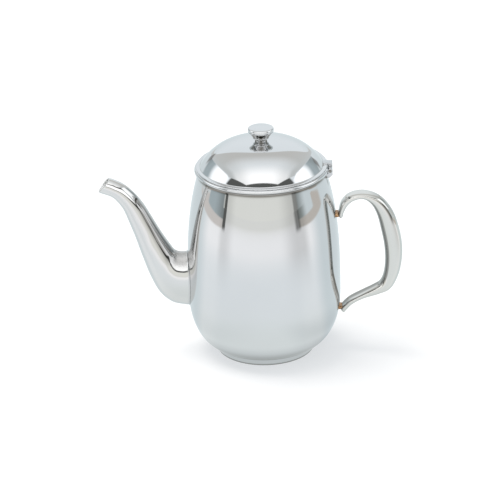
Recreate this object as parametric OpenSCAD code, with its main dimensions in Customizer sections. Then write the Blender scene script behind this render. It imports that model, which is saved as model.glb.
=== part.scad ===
// Gooseneck coffee pot in polished stainless steel, with a hinged lid.
// Origin: on the barrel's axis, on the plane that the foot rests on.
// The spout points to -X, the handle to +X, and the lid turns about a pin along Y.

/* [Barrel] */
// Height of the rolled rim above the table
rim_z = 141.5; // [118:0.5:175]
// Greatest outer radius of the barrel
belly_r = 55.4; // [50:0.1:68]
// Height of the barrel's widest ring
belly_z = 50; // [40:1:65]
// Outer radius of the neck, under the rim
neck_r = 45.9; // [38:0.1:50]
// Fullness of the shoulder: a higher number keeps the belly wide for longer
shoulder_power = 2.75; // [2:0.05:4]
// Roundness of the belly below its widest ring
lower_power = 2.7; // [2:0.05:3.2]
// Thickness of the drawn sheet
wall = 1; // [0.8:0.1:1.5]
// Radius of the rim's rolled edge
curl_r = 1.65; // [1.3:0.05:2.2]
// Rise of the middle of the bottom above its edge
bottom_rise = 1.5; // [0.5:0.1:3]

/* [Foot] */
// Outer radius of the foot ring where it rests
foot_r = 35.4; // [28:0.1:42]
// Height of the foot ring
foot_h = 5.1; // [4:0.1:8]
// Thickness of the foot ring's band
foot_wall = 1.6; // [1.2:0.1:2.5]
// How far the barrel's bottom edge stands out past the foot
foot_step = 1.1; // [0.6:0.1:3]

/* [Spout] */
// Reach of the spout's lower lip from the barrel
spout_reach = 61.9; // [45:0.1:78]
// How far the tip stays below the rim
spout_tip_drop = 7; // [2:0.5:20]
// Half the width of the spout at its root
spout_root_half_w = 13; // [10:0.1:16]
// Half the width of the spout at its mouth
spout_mouth_half_w = 6.6; // [5:0.1:8]
// Thickness of the spout's sheet
spout_wall = 1; // [0.8:0.1:1.3]
// Radius of the round ends of the port through the barrel
port_r = 6.5; // [4:0.1:7.5]
// Height of the port between the centres of its round ends
port_span = 16; // [8:0.5:20]
// Width of the weld fillet round the spout's root
weld_w = 0.9; // [0.6:0.1:1.5]

/* [Handle] */
// Reach of the handle from the barrel
handle_reach = 47; // [38:0.5:60]
// Height of the lower joint above the table
handle_low_z = 28; // [22:0.5:36]
// Depth of the upper joint below the rim
handle_top_drop = 39.5; // [32:0.5:48]
// Half the width of the grip
handle_half_w = 6.25; // [5:0.05:8]
// Thickness of the handle's sheet
handle_wall = 1; // [0.8:0.1:1.3]
// Half the width of the two brazed joints
braze_half_w = 4.2; // [3:0.1:4.8]

/* [Lid] */
// Rise of the lid's dome above the rim
dome_h = 19.3; // [14:0.1:26]
// Fullness of the dome: a higher number gives a flatter crown
dome_power = 3.3; // [2.5:0.1:5]
// Thickness of the lid's sheet
lid_wall = 1; // [0.8:0.1:1.5]
// Thickness of the lid's flange
flange_t = 0.9; // [0.7:0.1:1.4]
// Depth of the ring that locates the lid in the neck
ring_h = 3; // [2:0.1:4]
// Clearance between the locating ring and the neck
ring_gap = 0.4; // [0.3:0.05:0.8]
// Gap between the closed lid and the rim
seat_gap = 0.1; // [0.05:0.01:0.2]

/* [Knob] */
// Radius of the knob's rim
knob_r = 9.3; // [7:0.1:12]
// Height of the knob
knob_h = 10.5; // [9:0.1:16]
// Radius of the knob where it stands on the lid
knob_seat_r = 4.4; // [3.8:0.1:6]
// Radius of the screw that holds the knob
screw_r = 1.95; // [1.5:0.05:2.3]
// Radius of the screw's head
screw_head_r = 3.4; // [3:0.1:4.5]
// Radius of the washer under the screw's head
washer_r = 4.6; // [4:0.1:6]

/* [Hinge] */
// Width of the hinge bracket
hinge_w = 14.8; // [12:0.1:20]
// Width of the lid's knuckle
knuckle_w = 5.4; // [4:0.1:7]
// Outer radius of the knuckles
knuckle_r = 1.8; // [1.6:0.05:2.2]
// Radius of the hinge pin
pin_r = 0.8; // [0.6:0.05:0.9]
// Depth of the hinge axis below the rim
hinge_drop = 2.5; // [2.3:0.1:3.5]

/* [Hidden] */
$fn = 96;

steel = "#c9cdd0";
dark_steel = "#9aa0a4";
braze_colour = "#b98a5a";
joint_gap = 0.05;    // between two pieces that are welded or brazed together
flank_gap = 0.15;    // between the brazing metal and the handle's slightly rounded flank
root_gap = 0.1;     // between the spout's root and the round barrel
pin_clearance = 0.05;    // round the pin in the lid's knuckle
pin_fit = 0.02;    // round the pin in the bracket
side_gap = 0.15;    // between neighbouring knuckles
far = 400;    // longer than the whole pot
cutter_fn = 360;    // facets round the cutters that shape a small face to the barrel

// ---- barrel ----
seat_r = foot_r + foot_step;
mouth_r = neck_r - wall;
curl_x = mouth_r + curl_r;
curl_z = rim_z - curl_r;
neck_z = curl_z - 3;
profile_steps = 16;
curl_steps = 12;
curl_end = -60;    // angle at which the rolled edge stops
lower_lift = 0.66;    // how steeply the belly rises from the bottom edge

function ease(t, p) = 1 - pow(max(0, t), p);
function lower_r(z, low, seat, belly) =
    seat + (belly - seat) * pow(ease((belly_z - z) / (belly_z - low), lower_power), lower_lift);
function upper_r(z, belly, neck) =
    neck + (belly - neck) * ease((z - belly_z) / (neck_z - belly_z), shoulder_power);
function barrel_r(z) =
    z < belly_z ? lower_r(z, foot_h, seat_r, belly_r) : z < neck_z ? upper_r(z, belly_r, neck_r) : neck_r;

// Side of the barrel from its bottom edge up, taken in by t
function side_outline(t) = concat(
    [for (k = [0:profile_steps])
        let (z = belly_z - (belly_z - foot_h - t) * (1 - pow(k / profile_steps, 2)))
        [lower_r(z, foot_h + t, seat_r, belly_r - t), z]],
    [for (k = [1:profile_steps])
        let (z = belly_z + (neck_z - belly_z) * k / profile_steps)
        [upper_r(z, belly_r, neck_r) - t, z]]);
function curl_arc(r, from, to) =
    [for (k = [0:curl_steps])
        let (a = from + (to - from) * k / curl_steps)
        [curl_x + r * cos(a), curl_z + r * sin(a)]];
function reversed(list) = [for (k = [len(list) - 1:-1:0]) list[k]];

panel_r = seat_r - 5.5;    // flat middle of the bottom
edge_r = seat_r - 3;    // flat ring that the foot is welded to

module barrel_profile() {
    polygon(concat(
        [[0, foot_h + bottom_rise], [panel_r, foot_h + bottom_rise], [edge_r, foot_h]],
        side_outline(0),
        curl_arc(curl_r - wall, 180, curl_end),
        curl_arc(curl_r, curl_end, 180),
        reversed(side_outline(wall)),
        [[edge_r, foot_h + wall], [panel_r, foot_h + bottom_rise + wall], [0, foot_h + bottom_rise + wall]]));
}

hinge_x = curl_x + curl_r + 0.5;
hinge_z = rim_z - hinge_drop;
notch_w = hinge_w + 2;

// Room in the rolled edge for the hinge
module rim_notch() {
    difference() {
        translate([0, -notch_w / 2, neck_z]) cube([far, notch_w, far]);
        cylinder(h = far, r = neck_r + 0.02);
    }
}

module spout_port() {
    root_z = (spout_sections[0][1] + spout_sections[0][3]) / 2;
    translate([-belly_r - 5, 0, root_z]) rotate([0, 90, 0]) {
        translate([-port_span / 2, 0, 0]) cylinder(h = 20, r = port_r);
        translate([port_span / 2, 0, 0]) cylinder(h = 20, r = port_r);
        translate([-port_span / 2, -port_r, 0]) cube([port_span, 2 * port_r, 20]);
    }
}

module barrel_shell() {
    color(steel) difference() {
        rotate_extrude() barrel_profile();
        rim_notch();
        spout_port();
    }
}

foot_top_r = seat_r - 0.3;
foot_round = 0.5;
foot_inner_r = foot_r - foot_wall;
foot_inner_h = foot_h - 1;    // height of the foot's upright inner wall

module foot_ring() {
    color(steel) rotate_extrude() polygon([
        [foot_inner_r, 0], [foot_r - foot_round, 0], [foot_r, foot_round],
        [foot_top_r, foot_h], [foot_top_r - foot_wall - foot_step, foot_h],
        [foot_inner_r, foot_inner_h]]);
}

// ---- smooth shapes through a few sections ----
// A section is [x and z of one edge, x and z of the other edge, half the width along Y].
function catmull(a, b, c, d, t) =
    0.5 * (2 * b + (c - a) * t + (2 * a - 5 * b + 4 * c - d) * t * t + (3 * b - a - 3 * c + d) * t * t * t);
function at(list, s) =
    let (last = len(list) - 1, i = min(floor(s), last - 1))
    catmull(list[max(i - 1, 0)], list[i], list[i + 1], list[min(i + 2, last)], s - i);
function smooth(list, rings) = [for (k = [0:rings]) at(list, k * (len(list) - 1) / rings)];
function sized(v, p) = sign(v) * pow(abs(v), p);

// Half of the outline round one section, on the side where Y is positive, taken in by t
function half_ring(sec, t, squareness, steps) =
    let (cx = (sec[0] + sec[2]) / 2,
        cz = (sec[1] + sec[3]) / 2,
        hx = (sec[0] - sec[2]) / 2,
        hz = (sec[1] - sec[3]) / 2,
        keep = max(0.03, 1 - t / norm([hx, hz])),
        w = max(0.05, sec[4] - t))
    [for (k = [0:steps])
        let (a = 180 * k / steps, c = sized(cos(a), squareness), s = sized(sin(a), squareness))
        [cx + hx * keep * c, w * s, cz + hz * keep * c]];

// A shell whose rings each hold an outer half outline and then an inner one, back again
module half_shell(rings, steps) {
    m = 2 * (steps + 1);
    last = len(rings) - 1;
    points = [for (ring = rings) each ring];
    sides = [for (i = [0:last - 1]) for (j = [0:m - 1])
        let (a = i * m + j, b = i * m + (j + 1) % m)
        each [[a, a + m, b + m], [a, b + m, b]]];
    ends = [for (j = [0:steps - 1])
        let (a = j, b = j + 1, c = m - 2 - j, d = m - 1 - j, e = last * m)
        each [[a, b, c], [a, c, d], [e + a, e + c, e + b], [e + a, e + d, e + c]]];
    polyhedron(points, concat(sides, ends), convexity = 8);
}

// ---- spout ----
spout_foot_r = barrel_r(55);
spout_tip_z = rim_z - spout_tip_drop;
spout_steps = 12;
spout_rings = 30;
// Upper edge, then lower edge, each as distance out from the barrel and height, then the half width
// as a share of the way from the mouth's to the root's
spout_shape = [
    [0.0, 76.0, 0.0, 34.5, 1.00],
    [2.8, 75.6, 2.8, 34.8, 1.00],
    [7.1, 76.2, 12.2, 37.4, 1.00],
    [9.6, 78.2, 20.8, 45.4, 0.97],
    [12.0, 81.8, 27.2, 58.4, 0.90],
    [15.6, 87.6, 32.6, 74.4, 0.72],
    [19.9, 95.2, 36.7, 88.2, 0.50],
    [25.0, 105.0, 41.0, 100.8, 0.34],
    [29.9, 114.0, 44.5, 110.3, 0.20],
    [35.8, 122.2, 48.2, 116.2, 0.10],
    [43.2, 129.3, 52.2, 120.4, 0.04],
    [49.2, 132.7, 56.8, 122.5, 0.00],
    [53.6, 134.5, 61.9, 124.3, 0.00]];
shape_reach = spout_shape[len(spout_shape) - 1][2];
shape_tip_z = spout_shape[len(spout_shape) - 1][1];
spout_sections = [for (p = spout_shape)
    let (kx = spout_reach / shape_reach, kz = spout_tip_z / shape_tip_z)
    [-spout_foot_r - p[0] * kx, p[1] * kz, -spout_foot_r - p[2] * kx, p[3] * kz,
        spout_mouth_half_w + (spout_root_half_w - spout_mouth_half_w) * p[4]]];

// The point straight out along -X, on the barrel's face or a little off it
function on_barrel(y, z, off) = [-sqrt(pow(barrel_r(z) + off, 2) - y * y), y, z];
function seated(ring) = [for (p = ring) on_barrel(p[1], p[2], root_gap)];
function spout_ring(sec) =
    concat(half_ring(sec, 0, 1, spout_steps), reversed(half_ring(sec, spout_wall, 1, spout_steps)));

module spout_half() {
    sections = smooth(spout_sections, spout_rings);
    rings = [for (k = [0:spout_rings]) k == 0 ? seated(spout_ring(sections[0])) : spout_ring(sections[k])];
    half_shell(rings, spout_steps);
}

module spout_left_half() {
    color(steel) mirror([0, 1, 0]) spout_half();
}

module spout_right_half() {
    color(steel) spout_half();
}

// Fillet round the root: a three-cornered rod bent along the root's outline
weld_steps = 48;
weld_off = 0.08;
module spout_root_weld() {
    sec = spout_sections[0];
    cz = (sec[1] + sec[3]) / 2;
    hz = (sec[1] - sec[3]) / 2;
    points = [for (k = [0:weld_steps - 1])
        let (a = 360 * k / weld_steps,
            y = (sec[4] + weld_off) * sin(a),
            z = cz + (hz + weld_off) * cos(a),
            y2 = (sec[4] + weld_off + weld_w) * sin(a),
            z2 = cz + (hz + weld_off + weld_w) * cos(a))
        each [on_barrel(y, z, weld_off), on_barrel(y, z, weld_off + weld_w), on_barrel(y2, z2, weld_off)]];
    faces = [for (k = [0:weld_steps - 1]) for (j = [0:2])
        let (n = 3 * weld_steps, a = 3 * k + j, b = 3 * k + (j + 1) % 3, c = (b + 3) % n, d = (a + 3) % n)
        each [[a, b, c], [a, c, d]]];
    color(dark_steel) polyhedron(points, faces, convexity = 8);
}

// ---- handle ----
handle_top_z = rim_z - handle_top_drop;
handle_steps = 12;
handle_rings = 44;
handle_squareness = 0.5;
// Outer edge, then inner edge, each as distance out from the barrel and height above the lower joint,
// then the half width as a share of the grip's, from the upper end round to the lower end
handle_shape = [
    [1.9, 73.2, 3.7, 73.1, 0.74],
    [1.4, 74.6, 4.7, 74.1, 0.88],
    [1.4, 77.4, 5.3, 76.7, 0.90],
    [3.8, 84.8, 8.4, 82.2, 0.94],
    [10.2, 90.3, 13.0, 85.9, 0.98],
    [20.4, 91.7, 19.6, 86.8, 1.00],
    [31.4, 87.6, 25.4, 81.8, 1.00],
    [39.8, 77.6, 29.2, 73.6, 1.00],
    [44.6, 64.4, 31.8, 62.6, 1.00],
    [47.0, 50.4, 34.0, 50.2, 1.00],
    [46.6, 37.4, 34.6, 38.4, 1.00],
    [43.8, 25.6, 33.4, 27.6, 0.99],
    [38.4, 16.2, 30.4, 20.4, 0.97],
    [29.6, 12.1, 26.2, 17.2, 0.95],
    [18.4, 8.9, 17.4, 12.6, 0.93],
    [10.6, 4.8, 8.4, 7.8, 0.91],
    [5.8, 0.0, 2.9, 2.8, 0.88],
    [4.0, -2.6, 1.7, -0.4, 0.74]];
shape_span = 74;    // between the joints' heights in the table above
handle_shape_reach = max([for (p = handle_shape) p[0]]);
function handle_foot_r(z) =
    barrel_r(handle_low_z)
    + (barrel_r(handle_top_z) - barrel_r(handle_low_z)) * (z - handle_low_z) / (handle_top_z - handle_low_z);
function handle_x(out, z) = handle_foot_r(z) + out * handle_reach / handle_shape_reach;
function handle_z(up) = handle_low_z + up * (handle_top_z - handle_low_z) / shape_span;
handle_sections = [for (p = handle_shape)
    [handle_x(p[0], handle_z(p[1])), handle_z(p[1]), handle_x(p[2], handle_z(p[3])), handle_z(p[3]),
        p[4] * handle_half_w]];
// The hollow closes to a point at both ends
function handle_hollow(k) =
    let (to_end = min(k, handle_rings - k))
    to_end == 0 ? far : to_end == 1 ? handle_wall + 0.4 : handle_wall;
function handle_ring(sec, t) = concat(
    half_ring(sec, 0, handle_squareness, handle_steps),
    reversed(half_ring(sec, t, handle_squareness, handle_steps)));

module handle_half() {
    sections = smooth(handle_sections, handle_rings);
    half_shell([for (k = [0:handle_rings]) handle_ring(sections[k], handle_hollow(k))], handle_steps);
}

module handle_left_half() {
    color(steel) mirror([0, 1, 0]) handle_half();
}

module handle_right_half() {
    color(steel) handle_half();
}

// Cuts a small face to the barrel's shape between two heights
module barrel_cutter(z0, z1) {
    translate([0, 0, z0])
        cylinder(h = z1 - z0, r1 = barrel_r(z0) + joint_gap, r2 = barrel_r(z1) + joint_gap, $fn = cutter_fn);
}

// Metal between the barrel and the flank of the handle's end; the flank's points run upward
module braze(flank) {
    z0 = flank[0][1];
    z1 = flank[len(flank) - 1][1];
    color(braze_colour) difference() {
        rotate([90, 0, 0]) linear_extrude(2 * braze_half_w, center = true)
            polygon(concat([[barrel_r(z0) - 2, z0]], flank, [[barrel_r(z1) - 2, z1]]));
        barrel_cutter(z0 - 1, z1 + 1);
    }
}

// Points along one edge of the handle, a little off it: edge 0 is the outer one, edge 2 the inner one
function flank(edge, from, to) =
    [for (k = [0:4])
        let (sec = at(handle_sections, from + (to - from) * k / 4))
        [sec[edge] - flank_gap, sec[edge + 1]]];

module handle_upper_braze() {
    braze(flank(0, 0.4, 1.8));
}

module handle_lower_braze() {
    braze(flank(2, 16.6, 16));
}

// ---- hinge ----
nose = knuckle_r - 0.05;    // how far the bracket and the leaf stand out past the axis
block_top = hinge_z - knuckle_r - 0.45;
block_low = hinge_z - 5;

// A straight bar along Y with this outline in X and Z
module bar(width, outline) {
    rotate([90, 0, 0]) linear_extrude(width, center = true) polygon(outline);
}

module across(radius, width) {
    translate([hinge_x, 0, hinge_z]) rotate([90, 0, 0])
        cylinder(h = width, r = radius, center = true, $fn = 48);
}

module hinge_bracket() {
    color(steel) difference() {
        union() {
            bar(hinge_w, [[mouth_r, block_low], [hinge_x - 0.4, block_low], [hinge_x + nose, block_low + 2.2],
                [hinge_x + nose, block_top], [mouth_r, block_top]]);
            difference() {
                union() {
                    across(knuckle_r, hinge_w);
                    bar(hinge_w, [[hinge_x - 1.4, block_top - 0.5], [hinge_x + 1.4, block_top - 0.5],
                        [hinge_x + 1.4, hinge_z], [hinge_x - 1.4, hinge_z]]);
                }
                translate([0, -knuckle_w / 2 - side_gap, block_top])
                    cube([far, knuckle_w + 2 * side_gap, far]);
            }
        }
        across(pin_r + pin_fit, far);
        barrel_cutter(block_low - 1, block_top + 1);
    }
}

pin_head_r = pin_r + 0.35;
pin_head_t = 0.5;

module hinge_pin() {
    color(dark_steel) union() {
        across(pin_r, hinge_w + 0.2);
        for (side = [-1, 1])
            translate([hinge_x, side * (hinge_w / 2 + 0.03 + pin_head_t / 2), hinge_z]) rotate([90, 0, 0])
                cylinder(h = pin_head_t, r = pin_head_r, center = true, $fn = 48);
    }
}

// ---- lid ----
flange_z = rim_z + seat_gap;
flange_r = mouth_r + curl_r + 0.35;
flange_round = 0.3;
leaf_low = flange_z + flange_t;    // top of the flange, which the hinge leaf lies on
leaf_top = leaf_low + 1.1;
dome_r = flange_r - 1.8;
dome_steps = 16;
dome_apex = rim_z + dome_h;
crown_r = 6;    // flat middle of the crown, where the knob stands

// The dome's outline from the flange in, taken in by t; it starts at height z0
function dome_start(t, z0) = (dome_r - t) * pow(1 - (z0 - rim_z + t) / dome_h, 1 / dome_power);
function dome_outline(t, z0) =
    let (r0 = dome_start(t, z0))
    concat(
        [for (k = [0:dome_steps - 1])
            let (r = r0 * sqrt(1 - k / dome_steps))
            [r, rim_z - t + dome_h * ease(r / (dome_r - t), dome_power)]],
        [[crown_r, dome_apex - t], [0, dome_apex - t]]);

module lid_dome() {
    color(steel) difference() {
        rotate_extrude() polygon(concat(
            [[flange_r - flange_round, flange_z], [flange_r, flange_z + flange_round],
                [flange_r, leaf_low - flange_round], [flange_r - flange_round, leaf_low]],
            dome_outline(0, leaf_low),
            reversed(dome_outline(lid_wall, flange_z))));
        translate([0, 0, dome_apex - 5]) cylinder(h = 10, r = screw_r + 0.2);
    }
}

ring_r = mouth_r - ring_gap;
ring_wall = 1;

module lid_locating_ring() {
    color(steel) translate([0, 0, flange_z - ring_h]) difference() {
        cylinder(h = ring_h, r = ring_r);
        translate([0, 0, -1]) cylinder(h = ring_h + 2, r = ring_r - ring_wall);
    }
}

leaf_root = dome_start(0, leaf_top) - 1;
leaf_edge = flange_r + 0.2;
heel_z = hinge_z + 1.6;

module lid_hinge_leaf() {
    color(steel) difference() {
        union() {
            across(knuckle_r, knuckle_w);
            bar(knuckle_w, [[leaf_edge, hinge_z + 0.8], [hinge_x + 1, hinge_z + 1.2], [hinge_x + nose, heel_z],
                [hinge_x + nose, leaf_top - 0.4], [hinge_x + nose - 0.4, leaf_top], [leaf_root, leaf_top],
                [leaf_root, leaf_low], [leaf_edge, leaf_low]]);
        }
        across(pin_r + pin_clearance, far);
        translate([0, 0, leaf_low - 0.5])
            cylinder(h = leaf_top - leaf_low + 1, r1 = dome_start(0, leaf_low - 0.5) + joint_gap,
                r2 = dome_start(0, leaf_top + 0.5) + joint_gap, $fn = cutter_fn);
    }
}

// ---- knob ----
knob_band = 2.9;    // height of the knob's upright rim
bore_depth = 7;
flare = 1.25;    // how late the knob's stem widens
flare_steps = 8;

module lid_knob() {
    rise = knob_h - knob_band - 1.1;
    color(steel) translate([0, 0, dome_apex]) rotate_extrude() polygon(concat(
        [[screw_r + 0.05, 0], [knob_seat_r - 0.3, 0], [knob_seat_r, 0.3]],
        [for (k = [0:flare_steps])
            let (t = k / flare_steps)
            [knob_seat_r + (knob_r - 0.4 - knob_seat_r) * pow(t, flare), 0.5 + rise * t]],
        [[knob_r, knob_h - knob_band - 0.2], [knob_r, knob_h - 0.9], [knob_r - 0.3, knob_h - 0.5],
            [knob_r - 1.4, knob_h - 0.2], [knob_r * 0.5, knob_h], [0, knob_h],
            [0, bore_depth], [screw_r + 0.05, bore_depth]]));
}

washer_t = 0.8;
head_h = 2.2;
under_lid = dome_apex - lid_wall;

module knob_washer() {
    color(dark_steel) translate([0, 0, under_lid - washer_t]) difference() {
        cylinder(h = washer_t, r = washer_r);
        translate([0, 0, -1]) cylinder(h = washer_t + 2, r = screw_r + 0.2);
    }
}

module knob_screw() {
    head_z = under_lid - washer_t - head_h;
    slot_w = 1;
    color(dark_steel) difference() {
        union() {
            translate([0, 0, head_z]) cylinder(h = head_h, r = screw_head_r);
            translate([0, 0, head_z]) cylinder(h = dome_apex + bore_depth - 0.5 - head_z, r = screw_r);
        }
        translate([-screw_head_r - 1, -slot_w / 2, head_z - 1]) cube([2 * screw_head_r + 2, slot_w, 2]);
    }
}

barrel_shell();
foot_ring();
spout_left_half();
spout_right_half();
spout_root_weld();
handle_left_half();
handle_right_half();
handle_upper_braze();
handle_lower_braze();
hinge_bracket();
hinge_pin();
lid_dome();
lid_locating_ring();
lid_hinge_leaf();
lid_knob();
knob_screw();
knob_washer();
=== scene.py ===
"""Looks of the coffee pot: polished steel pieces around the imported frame, in metres, +Z up, spout to -X."""

import math

import bmesh
import bpy
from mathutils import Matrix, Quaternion, Vector, noise


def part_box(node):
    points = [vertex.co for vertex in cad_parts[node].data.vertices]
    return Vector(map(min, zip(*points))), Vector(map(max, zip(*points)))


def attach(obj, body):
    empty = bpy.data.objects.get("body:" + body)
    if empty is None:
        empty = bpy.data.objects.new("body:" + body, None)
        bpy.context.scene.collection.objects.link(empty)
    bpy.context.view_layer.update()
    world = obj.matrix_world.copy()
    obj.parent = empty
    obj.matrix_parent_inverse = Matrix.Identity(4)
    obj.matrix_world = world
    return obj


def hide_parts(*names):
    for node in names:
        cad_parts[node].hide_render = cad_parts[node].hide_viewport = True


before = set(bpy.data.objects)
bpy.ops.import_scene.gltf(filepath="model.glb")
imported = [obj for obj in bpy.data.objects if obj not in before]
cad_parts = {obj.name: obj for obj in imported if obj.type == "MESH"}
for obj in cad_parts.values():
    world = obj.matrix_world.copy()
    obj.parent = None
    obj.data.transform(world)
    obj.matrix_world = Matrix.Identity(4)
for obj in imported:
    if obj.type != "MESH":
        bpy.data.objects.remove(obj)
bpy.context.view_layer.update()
MM = 0.001


# ---- sizes, in millimetres as in the solids; MM turns them into metres where a mesh is made ----
def span(node, axis):
    """Lowest and highest value of a solid along one axis, in millimetres."""
    low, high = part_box(node)
    return low[axis] / MM, high[axis] / MM


X, Y, Z = 0, 1, 2
RIM_Z = 141.5
BELLY_R = 55.4
BELLY_Z = 50.0
NECK_R = 45.9
SHOULDER_POWER = 2.75
LOWER_POWER = 2.7
LOWER_LIFT = 0.66
WALL = 1.0
CURL_R = 1.65
CURL_END = -60
BOTTOM_RISE = 1.5
FOOT_R = 35.4
FOOT_H = span("foot_ring", Z)[1]
FOOT_WALL = 1.6
SEAT_R = FOOT_R + 1.1
MOUTH_R = NECK_R - WALL
CURL_X = MOUTH_R + CURL_R
CURL_Z = RIM_Z - CURL_R
NECK_Z = CURL_Z - 3
HINGE_X = CURL_X + CURL_R + 0.5
HINGE_Z = RIM_Z - 2.5
HINGE_W = 14.8
KNUCKLE_W = 5.4
KNUCKLE_R = 1.8
FLANGE_Z, DOME_APEX = span("lid_dome", Z)
FLANGE_T = 0.9
FLANGE_R = span("lid_dome", Y)[1]
DOME_R = FLANGE_R - 1.8
DOME_H = DOME_APEX - RIM_Z
DOME_POWER = 3.3
CROWN_R = 6.0
LID_WALL = 1.0
KNOB_R = 9.3
KNOB_H = span("lid_knob", Z)[1] - DOME_APEX
KNOB_SEAT_R = 4.4
SCREW_R = 1.95

AROUND = 256  # steps round a large turned piece


# ---- meshes ----
def add_object(name, data):
    made = bpy.data.objects.new(name, data)
    bpy.context.scene.collection.objects.link(made)
    return made


def finish_mesh(name, verts, faces, sharp=40, **marks):
    """A smooth-shaded object from points in millimetres; edges sharper than the angle stay crisp. Marks are
    values per point for the steel: the shading mark is 1 for painted shade or a darker tone and -1 for
    painted pale light, and haze 1 is satin."""
    mesh = bpy.data.meshes.new(name)
    mesh.from_pydata([Vector(v) * MM for v in verts], [], faces)
    for key, values in marks.items():
        mesh.attributes.new(key, "FLOAT", "POINT").data.foreach_set("value", values)
    bm = bmesh.new()
    bm.from_mesh(mesh)
    bmesh.ops.remove_doubles(bm, verts=bm.verts, dist=1e-7)
    bmesh.ops.recalc_face_normals(bm, faces=bm.faces)
    bm.to_mesh(mesh)
    bm.free()
    piece = add_object(name, mesh)
    shade(piece, sharp)
    return piece


def shade(piece, sharp):
    """Smooth shading, with edges sharper than the angle in degrees kept crisp."""
    mesh = piece.data
    mesh.polygons.foreach_set("use_smooth", [True] * len(mesh.polygons))
    mesh.set_sharp_from_angle(angle=math.radians(sharp))


def lathe(name, outline, steps=AROUND, sharp=40, start=0.0, turn=360.0):
    """Turns a closed outline of (radius, height) points about the pot's axis, all round or in part."""
    full = turn == 360.0
    columns = steps if full else steps + 1
    verts = []
    for i in range(columns):
        a = math.radians(start + turn * i / steps)
        verts += [(r * math.cos(a), r * math.sin(a), z) for r, z in outline]
    n = len(outline)
    faces = []
    for i in range(steps):
        a, b = i * n, ((i + 1) % columns) * n
        for k in range(n):
            following = (k + 1) % n
            faces.append((a + k, b + k, b + following, a + following))
    if not full:
        faces.append(tuple(range(n)))
        faces.append(tuple(steps * n + k for k in reversed(range(n))))
    return finish_mesh(name, verts, faces, sharp)


def skin(rings, ends=True):
    """Faces over closed rings with equal numbers of points, with flat ends if wanted."""
    m = len(rings[0])
    verts = [p for ring in rings for p in ring]
    faces = []
    for i in range(len(rings) - 1):
        for j in range(m):
            a, b = i * m + j, i * m + (j + 1) % m
            faces.append((a, b, b + m, a + m))
    if ends:
        last = (len(rings) - 1) * m
        faces.append(tuple(range(m)))
        faces.append(tuple(last + j for j in reversed(range(m))))
    return verts, faces


def prism(name, outline, width, at_y=0.0):
    """A bar along Y with this outline in X and Z."""
    n = len(outline)
    verts = [(x, at_y - width / 2, z) for x, z in outline] + [(x, at_y + width / 2, z) for x, z in outline]
    faces = [tuple(range(n)), tuple(range(2 * n - 1, n - 1, -1))]
    faces += [(k, k + n, (k + 1) % n + n, (k + 1) % n) for k in range(n)]
    return finish_mesh(name, verts, faces, 30)


def rectangle(x0, z0, x1, z1):
    return [(x0, z0), (x1, z0), (x1, z1), (x0, z1)]


def rod(name, radius, width, bevel, at):
    """A round rod along Y with rounded ends."""
    steps = 64
    outline = [(0.0, -width / 2), (radius - bevel, -width / 2)]
    outline += [(radius - bevel + bevel * math.sin(a), -width / 2 + bevel - bevel * math.cos(a))
                for a in (math.radians(q) for q in range(15, 91, 15))]
    outline += [(r, -z) for r, z in reversed(outline)]
    verts, faces = [], []
    n = len(outline)
    for i in range(steps):
        a = 2 * math.pi * i / steps
        verts += [(at[0] + r * math.cos(a), at[1] + y, at[2] + r * math.sin(a)) for r, y in outline]
    for i in range(steps):
        a, b = i * n, ((i + 1) % steps) * n
        faces += [(a + k, b + k, b + k + 1, a + k + 1) for k in range(n - 1)]
    return finish_mesh(name, verts, faces)


def set_point_marks(piece, mark, key="finish"):
    """Gives each point of a piece its shading mark or its haze, from its place in millimetres."""
    layer = piece.data.attributes.new(key, "FLOAT", "POINT")
    layer.data.foreach_set("value", [mark(*(v.co / MM)) for v in piece.data.vertices])
    return piece


def apply_modifiers(piece):
    bpy.context.view_layer.update()
    graph = bpy.context.evaluated_depsgraph_get()
    mesh = bpy.data.meshes.new_from_object(piece.evaluated_get(graph))
    old = piece.data
    piece.modifiers.clear()
    piece.data = mesh
    bpy.data.meshes.remove(old)


def combine(piece, other, operation):
    """Adds another piece to a piece or cuts it out; the other one is used up."""
    change = piece.modifiers.new("combine", "BOOLEAN")
    change.operation = operation
    change.solver = "EXACT"
    change.object = other
    apply_modifiers(piece)
    bpy.data.objects.remove(other)
    shade(piece, 35)


def merge(name, pieces):
    """One object from several."""
    bm = bmesh.new()
    for piece in pieces:
        bm.from_mesh(piece.data)
        bpy.data.objects.remove(piece)
    mesh = bpy.data.meshes.new(name)
    bm.to_mesh(mesh)
    bm.free()
    whole = add_object(name, mesh)
    shade(whole, 35)
    return whole


# ---- curves that the solids also follow ----
def ease(t, power):
    """1 at t = 0, falling slowly and then faster to 0 at t = 1."""
    return 1 - max(0.0, t) ** power


def lower_r(z, low, seat, belly):
    """Barrel radius below the belly, from the seat at height low."""
    rise = max(0.0, ease((BELLY_Z - z) / (BELLY_Z - low), LOWER_POWER))
    return seat + (belly - seat) * rise ** LOWER_LIFT


def upper_r(z, belly, neck):
    """The same from the belly up."""
    return neck + (belly - neck) * ease((z - BELLY_Z) / (NECK_Z - BELLY_Z), SHOULDER_POWER)


def barrel_r(z):
    """Outer radius of the barrel at a height."""
    if z < BELLY_Z:
        return lower_r(z, FOOT_H, SEAT_R, BELLY_R)
    return upper_r(z, BELLY_R, NECK_R) if z < NECK_Z else NECK_R


def barrel_x(y, z):
    """X of the barrel's outside, at y beside the axis."""
    return math.sqrt(barrel_r(z) ** 2 - y * y)


def catmull(a, b, c, d, t):
    """Row at t between b and c, on a smooth curve through four rows of numbers."""
    row = []
    for p, q, r, s in zip(a, b, c, d):
        slope, bend, twist = r - p, 2 * p - 5 * q + 4 * r - s, 3 * q - p - 3 * r + s
        row.append(0.5 * (2 * q + slope * t + bend * t * t + twist * t ** 3))
    return row


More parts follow.
